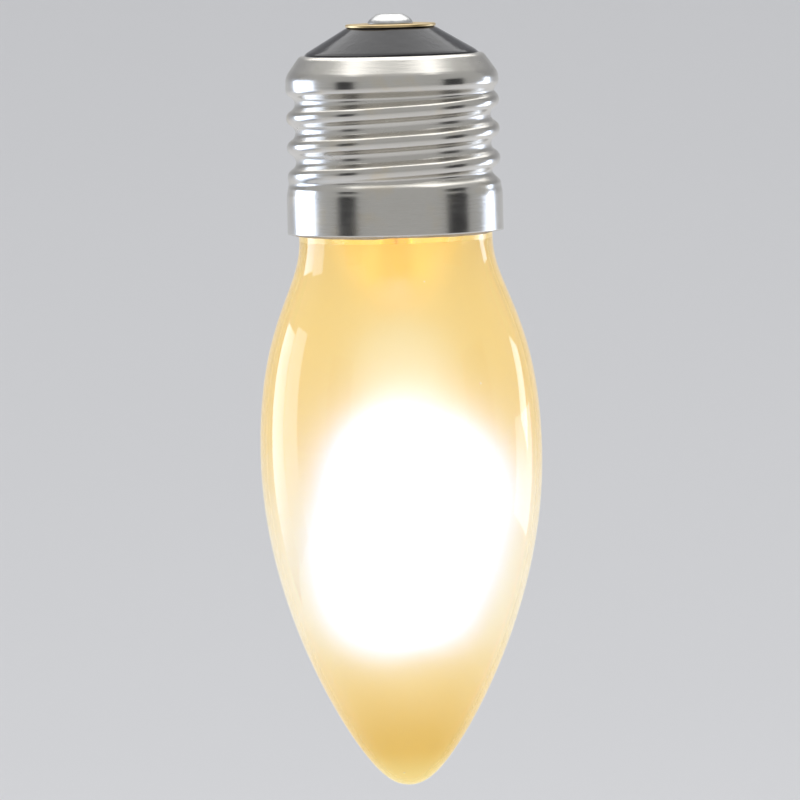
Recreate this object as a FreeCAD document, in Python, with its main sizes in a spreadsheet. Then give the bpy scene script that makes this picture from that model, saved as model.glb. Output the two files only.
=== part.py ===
import FreeCAD, Part
import os
import Sketcher

# A frosted candle bulb on a 27 mm screw cap, in the place that it has when it hangs: cap up, tip down.
# Millimetres, +Z up. The origin is the middle of the flat top of the cap's end contact.

sizes = {
    # the glass: its outline is two smooth curves that meet where it is widest
    "bulbDiameter": 35.0,
    "glassShown": 69.0,
    "bellyHeight": 41.4,
    "noseHandle": 4.2,
    "ogiveRadius": 6.35,
    "ogiveRise": 5.2,
    "bellyHandle": 21.7,
    "shoulderHandle": 16.8,
    "neckHandle": 6.2,
    "neckBend": 1.0,
    "neckInsert": 6.0,
    "sealChamfer": 0.8,
    "sealLand": 0.6,
    "flareDepth": 13.0,
    "pressDiameter": 7.0,
    "exhaustDiameter": 4.0,
    "exhaustTip": 1.6,
    "exhaustTaper": 1.2,
    "exhaustReach": 8.0,
    # the cap
    "capLength": 27.0,
    "threadDiameter": 26.45,
    "threadPitch": 3.629,
    "threadDepth": 1.095,
    "threadLand": 1.0,
    "sheetThickness": 0.35,
    "collarFlare": 0.175,
    "collarHeight": 4.8,
    "collarStep": 0.7,
    "shoulderDrop": 5.0,
    "shoulderHeight": 2.6,
    "shoulderWidth": 1.825,
    "lipWidth": 0.6,
    "insulatorProud": 0.25,
    "insulatorSkirt": 0.8,
    "insulatorDepth": 3.6,
    "insulatorWall": 3.0,
    "insulatorHole": 4.0,
    "plateDiameter": 11.2,
    "plateChamfer": 0.15,
    "plateThickness": 0.35,
    "plateHole": 2.6,
    "contactHeight": 1.25,
    "contactFlat": 3.2,
    "contactDiameter": 6.0,
    "contactRivet": 0.5,
    # the cement, leads and solder
    "cementThickness": 1.05,
    "cementFillet": 0.4,
    "wireDiameter": 0.5,
    "wireGap": 0.3,
    "wireEnd": 0.8,
    "beadDiameter": 2.0,
    "beadInset": 0.1,
    "beadRise": 0.45,
    "leadAngle": 90.0,
}


def half(name):
    return f"sizes.{name} / 2"


# Heights and radii that several pieces share, as expressions on the cells
rim = "(-sizes.capLength)"
tip = f"({rim} - sizes.glassShown)"
thread = half("threadDiameter")
threadBore = f"({thread} - sizes.sheetThickness)"
collar = f"({thread} + sizes.collarFlare)"
collarBore = f"({collar} - sizes.sheetThickness)"
collarTop = f"({rim} + sizes.collarHeight)"
stepTop = f"({collarTop} + sizes.collarStep)"
shoulder = f"({thread} - sizes.shoulderWidth)"
shoulderTop = "(-sizes.shoulderDrop)"
shoulderSide = f"({shoulderTop} - sizes.shoulderHeight)"
shoulderLean = "atan(sizes.shoulderWidth / sizes.shoulderHeight)"
lip = f"({shoulder} - sizes.lipWidth)"
threadMiddle = f"({stepTop} + {shoulderSide}) / 2"
threadFlank = "(sizes.threadPitch / 2 - sizes.threadLand)"
threadLean = f"atan(sizes.threadDepth / {threadFlank})"
innerTop = f"({shoulderTop} - sizes.sheetThickness)"
innerSide = f"({shoulderSide} - sizes.sheetThickness * tan({shoulderLean} / 2))"
innerEdge = f"({shoulder} - sizes.sheetThickness * tan((90 deg - {shoulderLean}) / 2))"
neck = f"({collarBore} - sizes.cementThickness)"
neckTop = f"({rim} + sizes.neckInsert)"
sealSide = f"({neckTop} - sizes.sealChamfer)"
sealEdge = f"({neck} - sizes.sealChamfer)"
press = f"({neckTop} - sizes.flareDepth)"
exhaustTop = f"({neckTop} + sizes.exhaustReach)"
plateTop = "(-sizes.contactHeight)"
plateSeat = f"({plateTop} - sizes.plateThickness)"
wireStand = f"(sizes.wireGap + {half('wireDiameter')})"
wireRing = f"({half('exhaustDiameter')} + {wireStand})"
wireUnder = f"({rim} - {wireStand})"


def makeSheet(document):
    sheet = document.addObject("Spreadsheet::Sheet", "sizes")
    for row, (name, value) in enumerate(sizes.items(), start=1):
        sheet.set(f"A{row}", name)
        sheet.set(f"B{row}", str(value))
        sheet.setAlias(f"B{row}", name)
    document.recompute()


def worth(owner, text):
    value = owner.evalExpression(text)
    return float(getattr(value, "Value", value))


def makeSketch(body, role, name):
    sketch = body.newObject("Sketcher::SketchObject", name)
    plane = next(feature for feature in body.Origin.OriginFeatures if feature.Role == role)
    sketch.AttachmentSupport = [(plane, "")]
    sketch.MapMode = "FlatFace"
    return sketch


def bind(sketch, text, *constraint):
    """Adds a constraint whose value is an expression on the cells."""
    number = sketch.addConstraint(Sketcher.Constraint(*constraint, worth(sketch, text)))
    sketch.setExpression(f"Constraints[{number}]", text)


def pin(sketch, geometry, end, place):
    """Holds one point of the sketch at a place given by two expressions."""
    for kind, axis, text in (("DistanceX", -2, place[0]), ("DistanceY", -1, place[1])):
        if text == "0":
            sketch.addConstraint(Sketcher.Constraint("PointOnObject", geometry, end, axis))
        else:
            bind(sketch, text, kind, -1, 1, geometry, end)


def draw(sketch, start, steps, closed=True):
    """Draws edges end to end and binds each corner and pole to the cells.

    A step is ("line", corner) or ("curve", pole, ..., corner).
    """
    edges = []
    here = start
    for kind, *places in steps:
        points = [FreeCAD.Vector(*(worth(sketch, text) for text in place)) for place in (here, *places)]
        if kind == "line":
            edge = sketch.addGeometry(Part.LineSegment(*points))
        else:
            bezier = Part.BezierCurve()
            bezier.setPoles(points)
            edge = sketch.addGeometry(bezier.toBSpline())
            sketch.exposeInternalGeometry(edge)
            for number, pole in enumerate(places[:-1], start=2):
                pin(sketch, edge + number, 3, pole)
        here = places[-1]
        pin(sketch, edge, 2, here)
        edges.append(edge)
    followers = edges[1:] + edges[:1] if closed else edges[1:]
    for edge, following in zip(edges, followers):
        sketch.addConstraint(Sketcher.Constraint("Coincident", edge, 2, following, 1))
    if not closed:
        pin(sketch, edges[0], 1, start)


def makeTurned(document, label, start, steps):
    """A piece turned about the Z axis from its half section, right of the axis."""
    body = document.addObject("PartDesign::Body", label)
    body.Label = label
    body.Placement = FreeCAD.Placement()
    sketch = makeSketch(body, "XZ_Plane", f"{label}_section")
    draw(sketch, start, steps)
    turned = body.newObject("PartDesign::Revolution", f"{label}_turned")
    turned.Profile = sketch
    turned.ReferenceAxis = (sketch, ["V_Axis"])
    turned.Angle = 360.0
    return body


def makeWire(document, label, *corners):
    """A round wire bent at the corners of its route, which is turned to the leads' side."""
    body = document.addObject("PartDesign::Body", label)
    body.Label = label
    body.Placement = FreeCAD.Placement(FreeCAD.Vector(), FreeCAD.Rotation(FreeCAD.Vector(0, 0, 1), 0))
    body.setExpression("Placement.Rotation.Angle", "sizes.leadAngle")
    route = makeSketch(body, "XZ_Plane", f"{label}_route")
    draw(route, corners[0], [("line", corner) for corner in corners[1:]], closed=False)
    section = makeSketch(body, "XY_Plane", f"{label}_section")
    section.setExpression("AttachmentOffset.Base.z", corners[0][1])
    centre = FreeCAD.Vector(worth(section, corners[0][0]), 0)
    radius = half("wireDiameter")
    ring = section.addGeometry(Part.Circle(centre, FreeCAD.Vector(0, 0, 1), worth(section, radius)))
    pin(section, ring, 3, (corners[0][0], "0"))
    bind(section, radius, "Radius", ring)
    pipe = body.newObject("PartDesign::AdditivePipe", f"{label}_pipe")
    pipe.Profile = section
    pipe.Spine = (route, [f"Edge{number}" for number in range(1, len(corners))])
    pipe.Transition = "Right corner"
    return body


def cutBy(document, label, blank, tools):
    """A piece that was run in round its neighbours: the blank without the room that each of them takes."""
    for number, tool in enumerate(tools, start=1):
        cut = document.addObject("Part::Cut", f"{label}_{number}")
        cut.Base = blank
        cut.Tool = tool
        blank = cut
    blank.Label = label
    return blank


def makeGlass(document):
    """The blown envelope, closed at its neck by the flare with its press and the sealed exhaust tube."""
    belly = half("bulbDiameter")
    bellyMiddle = f"({tip} + sizes.bellyHeight)"
    neckFoot = f"({rim} - sizes.neckBend)"
    mouth = f"({sealEdge} - sizes.sealLand)"
    exhaust = half("exhaustDiameter")
    nose = [("sizes.noseHandle", tip), ("sizes.ogiveRadius", f"{tip} + sizes.ogiveRise")]
    return makeTurned(document, "glass_bulb", ("0", tip), [
        ("curve", *nose, (belly, f"{bellyMiddle} - sizes.bellyHandle"), (belly, bellyMiddle)),
        ("curve", (belly, f"{bellyMiddle} + sizes.shoulderHandle"), (neck, f"{neckFoot} - sizes.neckHandle"),
         (neck, neckFoot)),
        ("line", (neck, sealSide)),
        ("line", (sealEdge, neckTop)),
        ("line", (mouth, neckTop)),
        ("line", (f"{mouth} - sizes.sealChamfer", sealSide)),
        ("line", (half("pressDiameter"), press)),
        ("line", (exhaust, press)),
        ("line", (exhaust, f"{exhaustTop} - sizes.exhaustTaper")),
        ("line", (half("exhaustTip"), exhaustTop)),
        ("line", ("0", exhaustTop)),
        ("line", ("0", tip)),
    ])


def threadSteps(document, crest, inset):
    """The rolled thread on one face of the sheet, from its foot up, as one ring for each whole pitch."""
    rings = int(worth(document.sizes, f"({shoulderSide} - {stepTop}) / sizes.threadPitch"))
    root = f"{crest} - sizes.threadDepth"
    bottom = f"(sizes.threadLand / 2 + {inset} * tan({threadLean} / 2))"
    mouth = f"({bottom} + {threadFlank})"
    steps = []
    for ring in range(rings):
        middle = f"{threadMiddle} + ({ring - (rings - 1) / 2} * sizes.threadPitch)"
        steps += [
            ("line", (crest, f"{middle} - {mouth}")),
            ("line", (root, f"{middle} - {bottom}")),
            ("line", (root, f"{middle} + {bottom}")),
            ("line", (crest, f"{middle} + {mouth}")),
        ]
    return steps


def makeShell(document):
    """The drawn sheet shell: plain collar at the rim, threaded length, leaning shoulder and flat lip."""
    return makeTurned(document, "cap_shell", (collarBore, rim), [
        ("line", (collar, rim)),
        ("line", (collar, collarTop)),
        ("line", (thread, stepTop)),
        *threadSteps(document, thread, "0"),
        ("line", (thread, shoulderSide)),
        ("line", (shoulder, shoulderTop)),
        ("line", (lip, shoulderTop)),
        ("line", (lip, innerTop)),
        ("line", (innerEdge, innerTop)),
        ("line", (threadBore, innerSide)),
        *reversed(threadSteps(document, threadBore, "sizes.sheetThickness")),
        ("line", (threadBore, stepTop)),
        ("line", (collarBore, collarTop)),
        ("line", (collarBore, rim)),
    ])


def makeInsulator(document):
    """The black glass cast into the shell's shoulder, hollow below, that stands up to the contact plate."""
    hole = half("insulatorHole")
    hollow = f"{threadBore} - sizes.insulatorWall"
    ceiling = f"{plateSeat} - sizes.insulatorDepth"
    skirt = f"({innerSide} - sizes.insulatorSkirt)"
    return makeTurned(document, "cap_insulator", (hole, plateSeat), [
        ("line", (hole, ceiling)),
        ("line", (hollow, ceiling)),
        ("line", (hollow, skirt)),
        ("line", (threadBore, skirt)),
        ("line", (threadBore, innerSide)),
        ("line", (innerEdge, innerTop)),
        ("line", (lip, innerTop)),
        ("line", (lip, f"{shoulderTop} + sizes.insulatorProud")),
        ("line", (half("plateDiameter"), plateSeat)),
        ("line", (hole, plateSeat)),
    ])


def makePlate(document):
    """The brass eyelet on the insulator's top."""
    edge = half("plateDiameter")
    hole = half("plateHole")
    return makeTurned(document, "contact_plate", (hole, plateSeat), [
        ("line", (edge, plateSeat)),
        ("line", (edge, f"{plateTop} - sizes.plateChamfer")),
        ("line", (f"{edge} - sizes.plateChamfer", plateTop)),
        ("line", (hole, plateTop)),
        ("line", (hole, plateSeat)),
    ])


def makeContactSolder(document):
    """The solder that fills the eyelet round the centre lead, with the flat top that a lamp holder meets."""
    hole = half("plateHole")
    wire = half("wireDiameter")
    rivet = f"{plateSeat} - sizes.contactRivet"
    return makeTurned(document, "contact_solder", ("0", "-sizes.wireEnd"), [
        ("line", (wire, "-sizes.wireEnd")),
        ("line", (wire, rivet)),
        ("line", (hole, rivet)),
        ("line", (hole, plateTop)),
        ("line", (half("contactDiameter"), plateTop)),
        ("line", (half("contactFlat"), "0")),
        ("line", ("0", "0")),
        ("line", ("0", "-sizes.wireEnd")),
    ])


def makeCentreLead(document):
    """The lead from the press, past the exhaust tube and over to the middle, up into the contact's solder."""
    return makeWire(
        document,
        "centre_lead",
        (f"-{wireRing}", press),
        (f"-{wireRing}", exhaustTop),
        ("0", f"{exhaustTop} + {wireRing}"),
        ("0", "-sizes.wireEnd"),
    )


def makeSideLead(document):
    """The lead from the press over the neck's end and down through the cement to the collar's rim."""
    wrap = f"({neck} + {threadBore}) / 2"
    over = f"{neckTop} + {wireStand}"
    return makeWire(
        document,
        "side_lead",
        (wireRing, press),
        (wireRing, over),
        (f"{sealEdge} + sizes.wireGap", over),
        (wrap, f"{sealSide} + sizes.wireGap"),
        (wrap, wireUnder),
        (collar, wireUnder),
    )


def makeCement(document, lead):
    """The cement between neck and collar, with the side lead in it, climbing the glass a little at the rim."""
    blank = makeTurned(document, "cement_blank", (neck, f"{rim} - sizes.cementFillet"), [
        ("line", (collarBore, rim)),
        ("line", (collarBore, collarTop)),
        ("line", (neck, collarTop)),
        ("line", (neck, f"{rim} - sizes.cementFillet")),
    ])
    return cutBy(document, "basing_cement", blank, [lead])


def makeRimSolder(document, neighbours):
    """The bead that joins the side lead to the shell at its rim."""
    ball = document.addObject("Part::Sphere", "bead_blank")
    reach = f"({collar} - sizes.beadInset)"
    ball.setExpression("Radius", half("beadDiameter"))
    ball.setExpression("Placement.Base.x", f"{reach} * cos(sizes.leadAngle)")
    ball.setExpression("Placement.Base.y", f"{reach} * sin(sizes.leadAngle)")
    ball.setExpression("Placement.Base.z", f"{wireUnder} + sizes.beadRise")
    return cutBy(document, "rim_solder", ball, neighbours)


def checkDocument(document, parts):
    """Stops on any object that failed, and on a part that isn't one valid solid."""
    for item in document.Objects:
        if {"Invalid", "Error"} & set(item.State):
            raise RuntimeError(f"{item.Name} failed: {item.State}")
    for part in parts:
        shape = part.Shape
        if shape.isNull() or not shape.isValid() or len(shape.Solids) != 1:
            raise RuntimeError(f"{part.Label} is not one valid solid")


def main():
    document = FreeCAD.newDocument("CandleBulb")
    makeSheet(document)
    shell = makeShell(document)
    sideLead = makeSideLead(document)
    cement = makeCement(document, sideLead)
    parts = [
        makeGlass(document),
        shell,
        makeInsulator(document),
        makePlate(document),
        makeContactSolder(document),
        makeCentreLead(document),
        sideLead,
        cement,
        makeRimSolder(document, [shell, cement, sideLead]),
    ]
    document.recompute()
    checkDocument(document, parts)
    os.makedirs("parts", exist_ok=True)
    for part in parts:
        part.Shape.exportStep(f"parts/{part.Label}.step")
        print(part.Label, round(part.Shape.Volume, 2), "mm3")


main()
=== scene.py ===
import math
import bmesh
import bpy
import numpy as np
from mathutils import Matrix, Vector


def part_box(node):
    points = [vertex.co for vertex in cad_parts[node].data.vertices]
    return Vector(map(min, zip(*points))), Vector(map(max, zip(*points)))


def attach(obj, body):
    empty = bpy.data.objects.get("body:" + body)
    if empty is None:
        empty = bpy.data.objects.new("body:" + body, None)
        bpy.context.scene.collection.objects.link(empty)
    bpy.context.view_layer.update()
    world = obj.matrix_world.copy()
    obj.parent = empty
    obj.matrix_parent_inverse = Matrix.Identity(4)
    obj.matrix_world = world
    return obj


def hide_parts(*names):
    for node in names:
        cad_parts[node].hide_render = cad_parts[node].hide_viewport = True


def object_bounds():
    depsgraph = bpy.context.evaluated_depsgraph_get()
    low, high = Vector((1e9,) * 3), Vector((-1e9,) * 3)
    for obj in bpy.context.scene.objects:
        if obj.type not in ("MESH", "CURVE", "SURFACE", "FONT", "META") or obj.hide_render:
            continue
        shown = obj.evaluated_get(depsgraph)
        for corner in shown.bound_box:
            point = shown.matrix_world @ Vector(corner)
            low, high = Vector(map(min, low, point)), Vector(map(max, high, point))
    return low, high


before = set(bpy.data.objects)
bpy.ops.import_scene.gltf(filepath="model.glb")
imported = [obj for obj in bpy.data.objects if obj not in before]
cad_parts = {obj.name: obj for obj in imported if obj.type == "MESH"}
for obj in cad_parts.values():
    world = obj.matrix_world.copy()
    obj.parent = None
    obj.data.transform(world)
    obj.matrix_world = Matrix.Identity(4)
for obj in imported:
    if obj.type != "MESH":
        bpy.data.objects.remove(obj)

mm = 0.001
fullTurn = 2.0 * math.pi
weldWithin = 1e-7    # metres
cadBox = [list(corner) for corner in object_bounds()]
print("frame loaded:", ", ".join(sorted(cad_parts)))


# A shader socket, so that sums and products of values read as Python expressions
class Value:
    def __init__(self, tree, socket):
        self.tree = tree
        self.socket = socket

    def math(self, operation, other=0.0):
        node = self.tree.nodes.new("ShaderNodeMath")
        node.operation = operation
        for slot, item in zip(node.inputs, (self, other)):
            if isinstance(item, Value):
                self.tree.links.new(item.socket, slot)
            else:
                slot.default_value = item
        return Value(self.tree, node.outputs[0])

    def __add__(self, other):
        return self.math("ADD", other)

    def __radd__(self, other):
        return self.math("ADD", other)

    def __sub__(self, other):
        return self.math("SUBTRACT", other)

    def __rsub__(self, other):
        return (self * -1.0).math("ADD", other)

    def __mul__(self, other):
        return self.math("MULTIPLY", other)

    def __rmul__(self, other):
        return self.math("MULTIPLY", other)

    def __truediv__(self, other):
        return self.math("DIVIDE", other)

    def __pow__(self, other):
        return self.math("POWER", other)

    # 0 at start, 1 at end, eased between
    def rise(self, start, end):
        share = ((self - start) / (end - start)).math("MAXIMUM", 0.0).math("MINIMUM", 1.0)
        return share * share * (3.0 - 2.0 * share)


# One material: its shader, and one method that adds any other node. Sizes on a piece are in mm.
class Finish:
    def __init__(self, name, **settings):
        self.material = bpy.data.materials.new(name)
        self.material.use_nodes = True
        self.tree = self.material.node_tree
        self.shader = self.tree.nodes["Principled BSDF"]
        for socket, value in settings.items():
            self.shader.inputs[spaced(socket)].default_value = value
        self.place = self.node("ShaderNodeTexCoord", output="Object")

    def node(self, kind, settings=None, sockets=None, output=0):
        node = self.tree.nodes.new(kind)
        for name, value in (settings or {}).items():
            setattr(node, name, value)
        for name, value in (sockets or {}).items():
            if isinstance(value, Value):
                self.tree.links.new(value.socket, node.inputs[name])
            else:
                node.inputs[name].default_value = value
        return Value(self.tree, node.outputs[output])

    def feed(self, **sockets):
        for name, value in sockets.items():
            self.tree.links.new(value.socket, self.shader.inputs[spaced(name)])
        return self.material

    def axis(self, name):
        return self.node("ShaderNodeSeparateXYZ", sockets={"Vector": self.place}, output=name)

    # distance from the Z axis
    def radius(self):
        return (self.axis("X") ** 2.0 + self.axis("Y") ** 2.0) ** 0.5 / mm

    # clouds of the size given, between 0 and 1
    def noise(self, size, detail=3.0, stretch=(1.0, 1.0, 1.0)):
        spot = self.node("ShaderNodeMapping", sockets={"Vector": self.place, "Scale": stretch})
        sockets = {"Vector": spot, "Scale": 1.0 / (size * mm), "Detail": detail}
        return self.node("ShaderNodeTexNoise", sockets=sockets)

    # 1 inside small round spots, one for each cell of the size given, 0 between them
    def specks(self, cell, spot):
        sockets = {"Vector": self.place, "Scale": 1.0 / (cell * mm)}
        distance = self.node("ShaderNodeTexVoronoi", sockets=sockets)
        return 1.0 - distance.rise(0.5 * spot / cell, spot / cell)

    def mix(self, factor, first, second):
        return self.node("ShaderNodeMix", {"data_type": "RGBA"}, {0: factor, 6: first, 7: second}, output=2)

    def bump(self, height, depth, strength):
        sockets = {"Height": height, "Distance": depth * mm, "Strength": strength}
        return self.node("ShaderNodeBump", sockets=sockets)


def spaced(name):    # baseColor becomes Base Color
    if name == "ior":
        return "IOR"
    letters = [" " + letter if letter.isupper() else letter for letter in name[0].upper() + name[1:]]
    return "".join(letters)[1:]


def colour(red, green, blue):
    return (red, green, blue, 1.0)


# Share s of the way from start to end, held between 0 and 1, then eased: s squared times (3 - 2 s)
def eased(values, start, end):
    share = np.clip((values - start) / (end - start), 0.0, 1.0)
    return share**2 * (3.0 - 2.0 * share)


# The angles of the columns, evenly spread over one turn
def anglesRound(columns):
    return np.linspace(0.0, fullTurn, columns, endpoint=False)


# A slow wave round a piece, between about -1 and 1: the mean of the sines of so many times the angle, the
# second with half the weight of the first, the third with a third of it, and so on. The shift keeps them
# from starting together.
def wobble(columns, turns, shift=1.7):
    angle = anglesRound(columns)
    waves = [np.sin(count * angle + shift * count) / (number + 1) for number, count in enumerate(turns)]
    return sum(waves) / sum(1.0 / (number + 1) for number in range(len(turns)))


# A profile turned about Z: x = r cos a, y = r sin a, z = h for every angle a of one turn. Radius and
# height are a value for each row, or rows x columns for a form that isn't round.
def turned(radius, height, columns):
    angle = anglesRound(columns)
    wide = [row if row.ndim == 2 else np.repeat(row[:, None], columns, 1) for row in (radius, height)]
    return np.stack([wide[0] * np.cos(angle), wide[0] * np.sin(angle), wide[1]], axis=-1)


# The faces of a rows x columns grid, each from a point to the next in its row, the row above and back.
# The columns always close round; closed joins the last row to the first.
def gridFaces(rows, columns, closed):
    numbers = np.arange(rows * columns).reshape(rows, columns)
    if closed:
        numbers = np.vstack([numbers, numbers[:1]])
    low, high = numbers[:-1], numbers[1:]
    return np.stack([low, np.roll(low, -1, 1), np.roll(high, -1, 1), high], axis=-1).reshape(-1, 4)


# The points of a Bezier curve: pole k of n weighs n over k times t to the k times (1 - t) to the (n - k).
def bezier(poles, count):
    t = np.linspace(0.0, 1.0, count)[:, None]
    order = len(poles) - 1
    weights = [math.comb(order, k) * t**k * (1.0 - t)**(order - k) for k in range(order + 1)]
    return sum(weight * np.array(pole) for weight, pole in zip(weights, poles))


# A line through corners, each rounded by a quadratic curve that leaves the line at that corner's length
# before it and meets it again as far after it, then cut into steps of even length. Corners past the last
# length stay sharp.
def roundedLine(corners, rounds, step, perRound=6):
    corners = [np.array(corner, float) for corner in corners]
    pieces = [corners[0][None]]
    for before, here, after, size in zip(corners, corners[1:], corners[2:], rounds):
        towards = (before - here) / np.linalg.norm(before - here)
        onwards = (after - here) / np.linalg.norm(after - here)
        pieces.append(bezier([here + towards * size, here, here + onwards * size], perRound))
    line = np.vstack([*pieces, corners[-1][None]])
    length = np.concatenate([[0.0], np.cumsum(np.linalg.norm(np.diff(line, axis=0), axis=1))])
    stations = np.unique(np.concatenate([length, np.arange(0.0, length[-1], step)]).round(5))
    return np.stack([np.interp(stations, length, line[:, k]) for k in (0, 1)], axis=-1)


# A curve in the half section moved to its right by the distance given, along its own normals.
def offsetLine(line, distance):
    run = np.gradient(line, axis=0)
    run /= np.linalg.norm(run, axis=1)[:, None]
    return line + np.stack([run[:, 1], -run[:, 0]], axis=-1) * distance


# The grid moved along its own normals: the cross product of its steps round and its steps along
def offsetGrid(points, distance):
    along = np.gradient(points, axis=0)
    around = np.roll(points, -1, 1) - np.roll(points, 1, 1)
    normal = np.cross(around, along)
    normal /= np.linalg.norm(normal, axis=2)[..., None]
    return points + normal * distance


# Makes a piece from its surfaces, each a grid of points in mm, whether its rows close, and its material
def makePiece(name, surfaces, materials, replaces):
    points, faces, numbers = [], [], []
    start = 0
    for grid, closed, finish in surfaces:
        rows, columns = grid.shape[:2]
        points.append(grid.reshape(-1, 3) * mm)
        faces.append(gridFaces(rows, columns, closed) + start)
        numbers.append(np.full(len(faces[-1]), finish))
        start += rows * columns
    mesh = bpy.data.meshes.new(name)
    mesh.from_pydata(np.vstack(points).tolist(), [], np.vstack(faces).tolist())
    mesh.polygons.foreach_set("material_index", np.concatenate(numbers))
    weld = bmesh.new()
    weld.from_mesh(mesh)
    bmesh.ops.remove_doubles(weld, verts=weld.verts, dist=weldWithin)    # closes poles and shared edges
    weld.to_mesh(mesh)
    weld.free()
    for material in materials:
        mesh.materials.append(material)
    mesh.polygons.foreach_set("use_smooth", np.ones(len(mesh.polygons), bool))
    piece = bpy.data.objects.new(name, mesh)
    bpy.context.scene.collection.objects.link(piece)
    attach(piece, "root")
    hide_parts(*replaces)
    print(name, len(mesh.polygons), "faces")
    return piece


# The blown glass: an outline of two smooth curves, a thin wall, and the flare that closes its neck. This
# and every dictionary of a piece is in mm, with heights above the origin unless a note says otherwise.

glass = {
    "bellyHeight": 41.4,    # above the tip
    "noseHandle": 4.2,
    "ogive": (6.35, 5.2),
    "bellyHandle": 21.7,
    "shoulderHandle": 16.8,
    "neckHandle": 6.2,
    "neckRadius": 12.0,
    "neckBend": 1.0,    # below the rim
    "neckInsert": 6.0,    # into the cap
    "sealRadius": 10.6,
    "flareDepth": 13.0,
    "pressRadius": 3.5,
    "exhaustRadius": 2.0,
    "exhaustTip": 0.8,
    "closingRounds": (0.7, 0.7, 0.6, 0.5, 0.5, 0.3),
    "wall": 0.7,
    "stemGlass": 2.2,
    "stemRounds": (1.2, 0.3, 0.3),
    "step": 0.8,
    "rows": (64, 36),    # of the curve from tip to belly, and of that from belly to neck
    "columns": 240,
}


# Two Bezier curves that meet upright at the belly: of degree 4 from the tip, of degree 3 to the neck
def glassOutline(belly, tip, rim):
    middle = tip + glass["bellyHeight"]
    foot = rim - glass["neckBend"]
    lower = bezier([
        (0.0, tip),
        (glass["noseHandle"], tip),
        (glass["ogive"][0], tip + glass["ogive"][1]),
        (belly, middle - glass["bellyHandle"]),
        (belly, middle),
    ], glass["rows"][0])
    upper = bezier([
        (belly, middle),
        (belly, middle + glass["shoulderHandle"]),
        (glass["neckRadius"], foot - glass["neckHandle"]),
        (glass["neckRadius"], foot),
    ], glass["rows"][1])
    return np.vstack([lower, upper[1:]])


# Three turned surfaces that share their edges: the outside, from the tip over the neck into the flare, the
# press and the exhaust tube, then the outline moved in by the wall, then the stem's face towards the inside
def makeGlass(clear, frosted, stemClear):
    low, high = (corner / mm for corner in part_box("glass_bulb"))
    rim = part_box("cap_shell")[0].z / mm
    outline = glassOutline(high.x, low.z, rim)
    neckTop = rim + glass["neckInsert"]
    press = neckTop - glass["flareDepth"]
    closing = roundedLine([
        (glass["neckRadius"], rim - glass["neckBend"]),
        (glass["neckRadius"], neckTop),
        (glass["sealRadius"], neckTop),
        (glass["pressRadius"], press),
        (glass["exhaustRadius"], press),
        (glass["exhaustRadius"], high.z - glass["exhaustTip"]),
        (glass["exhaustTip"], high.z),
        (0.0, high.z),
    ], glass["closingRounds"], glass["step"])
    outside = np.vstack([outline, closing[1:]])
    wall = offsetLine(outline, -glass["wall"])
    wall[0, 0] = 0.0
    inner = glass["neckRadius"] - glass["wall"]
    stem = roundedLine([
        (0.0, press - glass["stemGlass"]),
        (glass["pressRadius"] + glass["wall"], press - glass["stemGlass"]),
        (glass["sealRadius"], neckTop - glass["stemGlass"]),
        (inner, neckTop - glass["stemGlass"]),
        (inner, rim - glass["neckBend"]),
    ], glass["stemRounds"], glass["step"])
    inside = np.vstack([stem[-1:], wall[::-1][1:]])
    surfaces = [
        (turned(line[:, 0], line[:, 1], glass["columns"]), False, number)
        for number, line in enumerate((outside, inside, stem))
    ]
    materials = [clear, frosted, stemClear]
    return makePiece("frosted_glass", surfaces, materials, ["glass_bulb"])


# The drawn shell of the cap, with its rolled thread

cap = {
    "threadRadius": 13.225,
    "pitch": 3.629,
    "flankRound": 1.025,    # radius of crest and root alike
    "threadFoot": (-21.5, -19.6),    # the thread deepens over this height
    "threadHead": (-10.4, -8.5),    # and fades out over this one
    "collarTop": -22.2,
    "stepTop": -21.5,
    "shoulderSide": -7.6,
    "shoulderTop": -5.0,
    "shoulderRadius": 11.4,
    "lipRadius": 10.8,
    "rounds": (0.3, 0.3, 0.7, 0.45),
    "sheet": 0.35,
    "step": 0.18,
    "columns": 160,
}


# How far the sheet is drawn in from the crests: with x the distance from the nearest crest along Z, it is
# the drop of the crest's circle up to a quarter pitch, and of the root's circle beyond. The crest climbs
# one pitch for each turn, and both ends fade.
def threadDepth(height, columns):
    pitch, bend = cap["pitch"], cap["flankRound"]
    turns = height[:, None] / pitch - anglesRound(columns) / fullTurn
    x = np.abs(turns - np.round(turns)) * pitch
    full = 2.0 * (bend - math.sqrt(bend**2 - (pitch / 4.0)**2))
    crest = bend - np.sqrt(np.maximum(bend**2 - x**2, 0.0))
    root = full - bend + np.sqrt(np.maximum(bend**2 - (pitch / 2.0 - x)**2, 0.0))
    depth = np.where(x < pitch / 4.0, crest, root)
    foot = eased(height, *cap["threadFoot"])
    head = 1.0 - eased(height, *cap["threadHead"])
    return depth * (foot * head)[:, None]


# The outer face is the rounded profile less the thread's depth, turned, and the inner one is that face
# moved in by the sheet
def makeShell(material):
    low, high = (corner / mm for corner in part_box("cap_shell"))
    rim, collar = low.z, high.x
    line = roundedLine([
        (collar, rim),
        (collar, cap["collarTop"]),
        (cap["threadRadius"], cap["stepTop"]),
        (cap["threadRadius"], cap["shoulderSide"]),
        (cap["shoulderRadius"], cap["shoulderTop"]),
        (cap["lipRadius"], cap["shoulderTop"]),
    ], cap["rounds"], cap["step"])
    radius = line[:, :1] - threadDepth(line[:, 1], cap["columns"])
    outer = turned(radius, line[:, 1], cap["columns"])
    inner = offsetGrid(outer, -cap["sheet"])
    inner[0, :, 2] = rim    # the rim is cut flat
    inner[-1, :, :2] = outer[-1, :, :2]    # and so is the lip's hole
    grid = np.vstack([outer, inner[::-1]])
    return makePiece("cap_shell_rolled", [(grid, True, 0)], [material], ["cap_shell"])


# The pressed plate of the end contact

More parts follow.
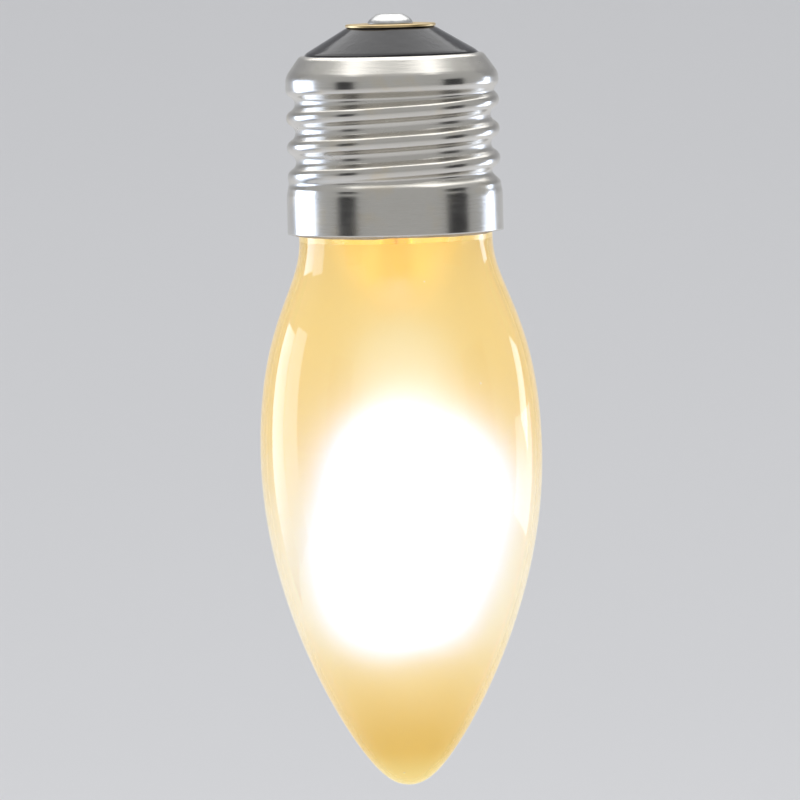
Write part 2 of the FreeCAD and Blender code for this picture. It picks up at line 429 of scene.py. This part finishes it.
plate = {
    "hole": 1.3,
    "radius": 5.6,
    "seat": -1.6,
    "top": -1.25,
    "rounds": (0.05, 0.08, 0.14),
    "step": 0.25,
    "columns": 96,
}


# A rounded rectangle in the half section, turned
def makePlate(material):
    line = roundedLine([
        (plate["hole"], plate["top"]),
        (plate["hole"], plate["seat"]),
        (plate["radius"], plate["seat"]),
        (plate["radius"], plate["top"]),
        (plate["hole"], plate["top"]),
    ], plate["rounds"], plate["step"])[:-1]
    grid = turned(line[:, 0], line[:, 1], plate["columns"])
    return makePiece("contact_eyelet", [(grid, True, 0)], [material], ["contact_plate"])


# The insulator, cast behind the shell's lip

insulator = {
    "hole": 2.0,
    "ceiling": -5.2,    # of the hollow under it
    "skirt": 0.8,
    "skirtWall": 3.0,
    "lipTop": -4.75,
    "lipDraft": 0.05,
    "slopeTop": (0.1, -0.15),    # from the plate's foot
    "seatInset": 0.4,    # from the plate's edge
    "rounds": (0.2, 0.4, 0.4, 0.3, 0.25, 0.2, 0.2, 0.35, 0.2, 0.2),
    "sink": 0.06,    # depth of the slow waves of the slope
    "sinkEnd": 0.1,    # below the seat
    "sinkTurns": (3, 5, 8),
    "step": 0.5,
    "columns": 96,
}


# A profile that follows the shell's inner face and the plate's foot, turned, with a wave in its slope
def makeInsulator(material):
    lean = math.atan2(cap["threadRadius"] - cap["shoulderRadius"], cap["shoulderTop"] - cap["shoulderSide"])
    side = cap["shoulderSide"] - cap["sheet"] * math.tan(lean / 2.0)
    edge = cap["shoulderRadius"] - cap["sheet"] * math.tan((math.pi / 2.0 - lean) / 2.0)
    under = cap["shoulderTop"] - cap["sheet"]
    bore = cap["threadRadius"] - cap["sheet"]
    hollow = bore - insulator["skirtWall"]
    line = roundedLine([
        (insulator["hole"], plate["seat"]),
        (insulator["hole"], insulator["ceiling"]),
        (hollow, insulator["ceiling"]),
        (hollow, side - insulator["skirt"]),
        (bore, side - insulator["skirt"]),
        (bore, side),
        (edge, under),
        (cap["lipRadius"], under),
        (cap["lipRadius"] - insulator["lipDraft"], insulator["lipTop"]),
        (plate["radius"] + insulator["slopeTop"][0], plate["seat"] + insulator["slopeTop"][1]),
        (plate["radius"] - insulator["seatInset"], plate["seat"]),
        (insulator["hole"], plate["seat"]),
    ], insulator["rounds"], insulator["step"])[:-1]
    columns = insulator["columns"]
    sloped = (line[:, 1] > insulator["lipTop"]) & (line[:, 1] < plate["seat"] - insulator["sinkEnd"])
    sink = insulator["sink"] * (wobble(columns, insulator["sinkTurns"]) - 1.0) * sloped[:, None]
    grid = turned(line[:, :1] + sink, line[:, 1], columns)
    return makePiece("insulator_cast", [(grid, True, 0)], [material], ["cap_insulator"])


# The drop of solder on the plate, which also fills its hole

drop = {
    "foot": -2.1,
    "radius": 3.0,
    "bulge": (-0.25, 0.55),    # from the drop's edge on the plate
    "flatEdge": (1.7, -0.03),
    "flat": 1.4,
    "rounds": (0.1, 0.1, 0.2, 0.4, 0.3, 0.1),
    "sink": 0.035,    # depth of the slow waves round it, as a share of the radius
    "sinkTurns": (2, 3, 5, 7),
    "sinkStart": 0.01,    # below the plate's top
    "step": 0.2,
    "columns": 96,
}


# A profile from the axis round the plate's hole and over the drop, turned, with a wave where it spreads
def makeContactSolder(material):
    line = roundedLine([
        (0.0, drop["foot"]),
        (plate["hole"], drop["foot"]),
        (plate["hole"], plate["top"]),
        (drop["radius"], plate["top"]),
        (drop["radius"] + drop["bulge"][0], plate["top"] + drop["bulge"][1]),
        drop["flatEdge"],
        (drop["flat"], 0.0),
        (0.0, 0.0),
    ], drop["rounds"], drop["step"])
    columns = drop["columns"]
    spread = (line[:, 1] > plate["top"] - drop["sinkStart"])[:, None] * (line[:, :1] > plate["hole"])
    sink = drop["sink"] * spread * (wobble(columns, drop["sinkTurns"]) - 1.0)
    grid = turned(line[:, :1] * (1.0 + sink), line[:, 1], columns)
    return makePiece("contact_bead", [(grid, False, 0)], [material], ["contact_solder"])


# The cement in the gap between neck and collar

cement = {
    "creep": 0.4,    # how far it climbs the glass below the rim
    "meniscus": (0.35, 0.08),    # from the creep's edge
    "edge": (-0.15, -0.02),    # from the collar's bore at the rim
    "edgeRise": 0.1,
    "rounds": (0.15, 0.1, 0.05, 0.2, 0.2),
    "wave": 0.1,    # height of the slow waves of its face
    "waveLift": 0.6,
    "waveFade": (0.3, 0.2),    # none from so far above the rim, full from so far below it
    "waveTurns": (5, 9, 14, 23),
    "step": 0.2,
    "columns": 144,
}


# A ring's profile, turned, whose lower face rises and falls with a wave that fades upwards
def makeCement(material):
    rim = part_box("cap_shell")[0].z / mm
    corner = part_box("basing_cement")[1] / mm
    neck = glass["neckRadius"]
    line = roundedLine([
        (neck, rim - cement["creep"]),
        (neck + cement["meniscus"][0], rim - cement["creep"] + cement["meniscus"][1]),
        (corner.x + cement["edge"][0], rim + cement["edge"][1]),
        (corner.x, rim + cement["edgeRise"]),
        (corner.x, corner.z),
        (neck, corner.z),
        (neck, rim - cement["creep"]),
    ], cement["rounds"], cement["step"])[:-1]
    columns = cement["columns"]
    above, below = cement["waveFade"]
    lower = eased(rim - line[:, 1], -above, below)[:, None]
    wave = cement["wave"] * lower * (wobble(columns, cement["waveTurns"]) + cement["waveLift"])
    grid = turned(line[:, 0], line[:, 1:] + wave, columns)
    return makePiece("cement_ring", [(grid, True, 0)], [material], ["basing_cement"])


# The bead that joins the side lead to the rim

bead = {
    "sink": 0.05,    # depth of its lumps, as a share of its size
    "lumpTurns": (3.0, 2.0),    # round and up
    "rows": 40,
    "columns": 64,
}


# A ball whose radius swells and dips: x, y and z follow longitude and latitude as on a sphere, each
# stretched to the box of the solid, and the radius takes a few slow waves.
def makeRimSolder(material):
    low, high = (np.array(corner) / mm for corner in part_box("rim_solder"))
    latitude = np.linspace(-0.5 * math.pi, 0.5 * math.pi, bead["rows"])[:, None]
    longitude = anglesRound(bead["columns"])[None, :]
    turnsRound, turnsUp = bead["lumpTurns"]
    lumps = np.sin(turnsRound * longitude + turnsUp * latitude) * np.cos(latitude)**2
    swell = 1.0 - bead["sink"] * (1.0 + lumps) * np.cos(latitude)
    unit = np.stack([
        np.cos(latitude) * np.cos(longitude) * swell,
        np.cos(latitude) * np.sin(longitude) * swell,
        np.sin(latitude) * swell,
    ], axis=-1)
    grid = (low + high) / 2.0 + unit * (high - low) / 2.0
    return makePiece("rim_bead", [(grid, False, 0)], [material], ["rim_solder"])


# Finishes, with sizes in mm

# The lit glass: the tint of the light that passes, and the glow of the glass itself. Both are amber at
# the neck, cream between and deep amber at the tip. Heights are above the tip.
glow = {
    "tint": {
        "tip": colour(0.80, 0.60, 0.26),
        "cream": colour(0.98, 0.87, 0.58),
        "amber": colour(0.98, 0.85, 0.50),
    },
    "light": {
        "tip": colour(0.24, 0.18, 0.03),
        "cream": colour(0.21, 0.18, 0.10),
        "amber": colour(0.205, 0.145, 0.045),
    },
    "end": colour(0.29, 0.27, 0.105),    # the light of the tip's very end
    "endRise": (0.8, 5.0),
    "tipRise": (4.0, 15.0),
    "creamRise": (12.0, 22.0),
    "creamFall": (32.0, 46.0),
    "refraction": 1.5,
    "polish": 0.03,
    "smear": 0.03,
    "smearSize": 9.0,
    # the painted glint of the dust specks: emission that makes them glow lighter than the glass round them
    "speck": colour(0.42, 0.38, 0.28),
    "speckRough": 0.25,
    "speckCell": 5.0,
    "speckSize": 0.16,
    "speckBump": (0.12, 0.8),    # depth and strength
    "frosting": 0.6,
    "grain": (0.25, 4.0),    # size and detail
    "grainRough": 0.06,
    "stem": colour(0.98, 0.94, 0.84),
    "stemPolish": 0.1,
    "stemCloud": 3.0,
}


def heightAboveTip(finish):
    return (finish.axis("Z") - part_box("glass_bulb")[0].z) / mm


# A colour for the height above the tip: tip to amber as it rises, and cream between
def banded(finish, colours):
    height = heightAboveTip(finish)
    cream = height.rise(*glow["creamRise"]) * (1.0 - height.rise(*glow["creamFall"]))
    warm = finish.mix(height.rise(*glow["tipRise"]), colours["tip"], colours["amber"])
    return finish.mix(cream, warm, colours["cream"])


def clearGlass():
    settings = {"transmissionWeight": 1.0, "ior": glow["refraction"], "emissionStrength": 1.0}
    finish = Finish("clear_outer_glass", **settings)
    smears = finish.noise(glow["smearSize"])
    # the specks are real dust in roughness and bump, and a painted glint in the emission colour
    dustAndGlint = finish.specks(glow["speckCell"], glow["speckSize"])
    past = heightAboveTip(finish).rise(*glow["endRise"])
    light = finish.mix(past, glow["end"], banded(finish, glow["light"]))
    return finish.feed(
        baseColor=banded(finish, glow["tint"]),
        roughness=glow["polish"] + glow["smear"] * smears + glow["speckRough"] * dustAndGlint,
        normal=finish.bump(dustAndGlint, *glow["speckBump"]),
        emissionColor=finish.mix(dustAndGlint, light, glow["speck"]),
    )


def frostedGlass():
    finish = Finish("frosted_inner_glass", transmissionWeight=1.0, ior=glow["refraction"])
    grain = finish.noise(*glow["grain"])
    return finish.feed(
        baseColor=banded(finish, glow["tint"]),
        roughness=glow["frosting"] + glow["grainRough"] * (grain - 0.5),
    )


def stemGlass():
    finish = Finish("stem_glass", transmissionWeight=1.0, ior=glow["refraction"], baseColor=glow["stem"])
    return finish.feed(roughness=glow["stemPolish"] * (1.0 + finish.noise(glow["stemCloud"])))


# Nickel on brass, drawn in rings, with some brass showing where the crests are worn
nickel = {
    "dull": colour(0.72, 0.69, 0.63),
    "bright": colour(0.80, 0.77, 0.71),
    "brass": colour(0.80, 0.66, 0.42),
    "cloud": 4.0,
    "crest": (12.6, 13.2),    # radius from which the crests count, and in full
    "wornClouds": (0.5, 0.75),
    "worn": 0.35,
    "drawn": (0.35, 2.0, (0.12, 0.12, 1.0)),    # size, detail and stretch
    "drawnBump": (0.02, 0.35),
    "polish": 0.17,
    "cloudRough": 0.1,
    "drawnRough": 0.06,
    "crestShine": 0.04,
}


def platedBrass():
    finish = Finish("nickel_plated_brass", metallic=1.0)
    crest = finish.radius().rise(*nickel["crest"])
    cloud = finish.noise(nickel["cloud"])
    drawn = finish.noise(*nickel["drawn"])
    worn = crest * cloud.rise(*nickel["wornClouds"]) * nickel["worn"]
    plated = finish.mix(cloud, nickel["dull"], nickel["bright"])
    rough = nickel["polish"] + nickel["cloudRough"] * cloud + nickel["drawnRough"] * drawn
    return finish.feed(
        baseColor=finish.mix(worn, plated, nickel["brass"]),
        roughness=rough - nickel["crestShine"] * crest,
        normal=finish.bump(drawn, *nickel["drawnBump"]),
    )


# The other finishes: two colours mixed by clouds, a roughness between two values by the grain or else the
# same clouds, each a size and detail, and the depth and strength of the bump that these give
finishes = {
    "black_cast_glass": {
        "colours": (colour(0.012, 0.011, 0.013), colour(0.03, 0.028, 0.03)),
        "cloud": (1.6, 3.0),
        "rough": (0.08, 0.22),
        "bump": (0.1, 0.4),
        "shader": {"ior": 1.42},
    },
    "contact_brass": {
        "colours": (colour(0.72, 0.52, 0.24), colour(0.84, 0.66, 0.36)),
        "cloud": (1.5, 3.0),
        "grain": (0.2, 4.0),
        "rough": (0.26, 0.46),
        "bump": (0.02, 0.3),
        "shader": {"metallic": 1.0},
    },
    "tin_solder": {
        "colours": (colour(0.55, 0.55, 0.54), colour(0.78, 0.78, 0.76)),
        "cloud": (0.9, 4.0),
        "rough": (0.2, 0.45),
        "bump": (0.12, 0.5),
        "shader": {"metallic": 1.0},
    },
    "copper_clad_wire": {
        "colours": (colour(0.62, 0.33, 0.2), colour(0.8, 0.5, 0.36)),
        "cloud": (0.8, 3.0),
        "rough": (0.3, 0.45),
        "shader": {"metallic": 1.0},
    },
    "baked_cement": {
        "colours": (colour(0.50, 0.39, 0.26), colour(0.66, 0.55, 0.4)),
        "cloud": (2.5, 3.0),
        "grain": (0.22, 5.0),
        "rough": (0.8, 0.95),
        "bump": (0.12, 0.8),
        "shader": {},
    },
}


def cloudy(name):
    look = finishes[name]
    finish = Finish(name, **look["shader"])
    cloud = finish.noise(*look["cloud"])
    grain = finish.noise(*look["grain"]) if "grain" in look else cloud
    smooth, dull = look["rough"]
    if "bump" in look:
        finish.feed(normal=finish.bump(grain, *look["bump"]))
    return finish.feed(
        baseColor=finish.mix(cloud, *look["colours"]),
        roughness=smooth + (dull - smooth) * grain,
    )


# Stage, lamps and camera, in metres and degrees

stage = {
    "floor": -0.24,
    "wall": 2.6,
    "bend": 1.4,
    "bendRows": 32,
    "halfWidth": 4.0,
    "front": -3.5,
    "height": 3.0,
    "paper": (colour(0.74, 0.74, 0.755), colour(0.72, 0.72, 0.735)),
    "paperRough": 0.9,
    "paperCloud": 400.0,    # mm
    "surround": colour(0.96, 0.98, 1.0),
    "surroundStrength": 0.44,
}


# Pale paper, clear from behind, so that a camera under the floor sees the bulb
def sweepFinish():
    finish = Finish("pale_sweep", roughness=stage["paperRough"])
    finish.feed(baseColor=finish.mix(finish.noise(stage["paperCloud"]), *stage["paper"]))
    paper = Value(finish.tree, finish.shader.outputs["BSDF"])
    behind = finish.node("ShaderNodeNewGeometry", output="Backfacing")
    clear = finish.node("ShaderNodeBsdfTransparent")
    seen = finish.node("ShaderNodeMixShader", sockets={0: behind, 1: paper, 2: clear})
    finish.tree.links.new(seen.socket, finish.tree.nodes["Material Output"].inputs["Surface"])
    return finish.material


# A sheet that isn't part of the bulb
def makeSheet(name, points, faces, material):
    mesh = bpy.data.meshes.new(name)
    mesh.from_pydata(points, [], faces)
    mesh.materials.append(material)
    sheet = bpy.data.objects.new(name, mesh)
    return sheet


# The floor runs back, bends up on a quarter circle and goes on as the backdrop, the same at every x
def makeStage():
    turn = np.linspace(0.0, 0.5 * math.pi, stage["bendRows"])
    bendY = stage["wall"] - stage["bend"] + stage["bend"] * np.sin(turn)
    bendZ = stage["floor"] + stage["bend"] * (1.0 - np.cos(turn))
    y = np.concatenate([[stage["front"]], bendY, [stage["wall"]]])
    z = np.concatenate([[stage["floor"]], bendZ, [stage["height"]]])
    x = np.tile([-stage["halfWidth"], stage["halfWidth"]], (len(y), 1))
    points = np.stack([x, np.repeat(y[:, None], 2, 1), np.repeat(z[:, None], 2, 1)], axis=-1)
    numbers = np.arange(len(y) * 2).reshape(-1, 2)
    faces = np.stack([numbers[:-1, 0], numbers[:-1, 1], numbers[1:, 1], numbers[1:, 0]], axis=-1)
    sweep = makeSheet("sweep", points.reshape(-1, 3).tolist(), faces.tolist(), sweepFinish())
    sweep.data.polygons.foreach_set("use_smooth", np.ones(len(faces), bool))
    bpy.context.scene.collection.objects.link(sweep)
    world = bpy.data.worlds.new("soft_surround")
    world.use_nodes = True
    background = world.node_tree.nodes["Background"]
    background.inputs["Color"].default_value = stage["surround"]
    background.inputs["Strength"].default_value = stage["surroundStrength"]
    bpy.context.scene.world = world


# Upright dark cards out of the picture that the metal mirrors, each square to the axis at its azimuth
cards = {
    "places": ((-52.0, 0.16), (70.0, 0.2)),    # azimuth, from the camera's side, and width
    "distance": 0.42,
    "halfHeight": 0.12,
    "colour": colour(0.02, 0.02, 0.022),
    "rough": 0.9,
}


def makeCards():
    finish = Finish("dark_card", roughness=cards["rough"], baseColor=cards["colour"])
    up = np.array([0.0, 0.0, cards["halfHeight"]])
    for number, (azimuth, width) in enumerate(cards["places"]):
        angle = math.radians(azimuth)
        middle = np.array([math.sin(angle), -math.cos(angle), 0.0]) * cards["distance"]
        across = np.array([math.cos(angle), math.sin(angle), 0.0]) * width / 2.0
        corners = [middle - across - up, middle + across - up, middle + across + up, middle - across + up]
        card = makeSheet(f"card_{number}", np.array(corners).tolist(), [(0, 1, 2, 3)], finish.material)
        card.visible_camera = False
        bpy.context.scene.collection.objects.link(card)


def placeLooking(item, place, target, roll=0.0):
    towards = (target - place).to_track_quat("-Z", "Y").to_matrix().to_4x4()
    item.matrix_world = Matrix.Translation(place) @ towards @ Matrix.Rotation(roll, 4, "Z")
    bpy.context.scene.collection.objects.link(item)


# Lamps that face the axis: azimuth from the camera's side, anticlockwise seen from above, distance, height
# of the middle, size, lean, colour and radiance. One with a fade is a panel that darkens towards its foot,
# over that share of its height.
coolWhite = (0.74, 0.86, 1.12)
black = (0.0, 0.0, 0.0)
lamps = {
    "left_outer": {
        "azimuth": -119.5, "distance": 0.36, "height": -0.072, "size": (0.116, 0.25), "lean": 9.0,
        "colour": coolWhite, "radiance": 3.8, "fade": 0.55,
    },
    "left_inner": {
        "azimuth": -101.5, "distance": 0.36, "height": -0.050, "size": (0.108, 0.27), "lean": 9.0,
        "colour": coolWhite, "radiance": 2.9, "fade": 0.6,
    },
    "right_streak": {
        "azimuth": 124.0, "distance": 0.50, "height": -0.012, "size": (0.085, 0.13), "lean": -25.0,
        "colour": coolWhite, "radiance": 3.2,
    },
    "right_low": {
        "azimuth": 120.5, "distance": 0.50, "height": -0.11, "size": (0.235, 0.13), "lean": 0.0,
        "colour": coolWhite, "radiance": 1.7,
    },
    "top": {
        "azimuth": 180.0, "distance": 0.5, "height": 1.4, "size": (2.4, 2.4), "lean": 0.0,
        "colour": (1.0, 1.0, 1.0), "radiance": 1.4,
    },
}

# The lit core inside the glass: spheres of light from the neck down to the tip, each with its place across
# and along the bulb and its radius in mm. Their light is mostly blue, which the amber of tint and glow
# makes white.
core = (
    {"across": 0.5, "height": -44.0, "radius": 6.0, "radiance": (0.05, 0.16, 0.4)},
    {"across": 1.5, "height": -55.0, "radius": 10.5, "radiance": (0.25, 0.3, 0.6)},
    {"across": -1.5, "height": -56.5, "radius": 8.0, "radiance": (0.25, 0.58, 2.6)},
    {"across": 4.8, "height": -58.8, "radius": 9.3, "radiance": (0.25, 0.62, 2.4)},
    {"across": 0.0, "height": -67.0, "radius": 13.5, "radiance": (0.3, 0.84, 3.0)},
    {"across": -3.0, "height": -73.5, "radius": 7.5, "radiance": (0.2, 0.42, 1.3)},
    {"across": 4.5, "height": -75.5, "radius": 4.0, "radiance": (0.15, 0.25, 0.8)},
)


# A lamp with a fade: a glowing panel, dark at its foot
def makePanel(name, lamp):
    wide, tall = lamp["size"]
    corners = [(x * wide, y * tall, 0.0) for x, y in ((-0.5, -0.5), (0.5, -0.5), (0.5, 0.5), (-0.5, 0.5))]
    finish = Finish(name, baseColor=colour(*black), emissionStrength=lamp["radiance"])
    lit = (finish.axis("Y") / tall + 0.5).rise(0.0, lamp["fade"])
    light = finish.mix(lit, colour(*black), colour(*lamp["colour"]))
    return makeSheet(name, corners, [(0, 1, 2, 3)], finish.feed(emissionColor=light))


# A lamp without a fade
def makeArea(name, lamp):
    light = bpy.data.lights.new(name, "AREA")
    light.shape = "RECTANGLE"
    light.size, light.size_y = lamp["size"]
    light.color = lamp["colour"]
    light.energy = lamp["radiance"] * math.pi * light.size * light.size_y
    return bpy.data.objects.new(name, light)


def makeLamps():
    for name, lamp in lamps.items():
        item = makePanel(name, lamp) if "fade" in lamp else makeArea(name, lamp)
        item.visible_camera = False
        angle = math.radians(lamp["azimuth"])
        height = Vector((0.0, 0.0, lamp["height"]))
        target = Vector((0.0, 0.0, min(lamp["height"], 0.0)))
        side = Vector((math.sin(angle), -math.cos(angle), 0.0)) * lamp["distance"]
        placeLooking(item, side + height, target, math.radians(lamp["lean"]))
    for number, sphere in enumerate(core):
        light = bpy.data.lights.new(f"core_{number}", "POINT")
        light.shadow_soft_size = sphere["radius"] * mm
        light.energy = 4.0 * math.pi**2 * light.shadow_soft_size**2    # of radiance 1
        light.color = sphere["radiance"]
        item = bpy.data.objects.new(light.name, light)
        item.location = (sphere["across"] * mm, 0.0, sphere["height"] * mm)
        bpy.context.scene.collection.objects.link(item)


view = {
    "elevation": 3.9,
    "roll": -1.47,
    "distance": 1.2,
    "perMillimetre": 8.05,    # pixels of the picture
    "pictureSize": 800,
    "sensor": 36.0,    # mm
    "clipEnd": 50.0,
}


def makeCamera():
    lens = bpy.data.cameras.new("camera")
    lens.sensor_width = view["sensor"]
    lens.lens = view["sensor"] * view["distance"] * view["perMillimetre"] / (view["pictureSize"] * mm)
    lens.clip_end = view["clipEnd"]
    item = bpy.data.objects.new("camera", lens)
    middle = Vector((0.0, 0.0, 0.5 * (cadBox[0][2] + cadBox[1][2])))
    tilt = math.radians(view["elevation"])
    place = middle + Vector((0.0, -math.cos(tilt), math.sin(tilt))) * view["distance"]
    placeLooking(item, place, middle, math.radians(view["roll"]))
    bpy.context.scene.camera = item


makeStage()
makeCards()
makeLamps()
makeCamera()
print("stage, lamps and camera placed")
solder = cloudy("tin_solder")
makeGlass(clearGlass(), frostedGlass(), stemGlass())
makeShell(platedBrass())
makeInsulator(cloudy("black_cast_glass"))
makePlate(cloudy("contact_brass"))
makeContactSolder(solder)
makeCement(cloudy("baked_cement"))
makeRimSolder(solder)
wire = cloudy("copper_clad_wire")
for name in ("centre_lead", "side_lead"):
    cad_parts[name].data.materials.clear()
    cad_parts[name].data.materials.append(wire)
print("leads finished")
bpy.context.scene.view_settings.view_transform = "Standard"
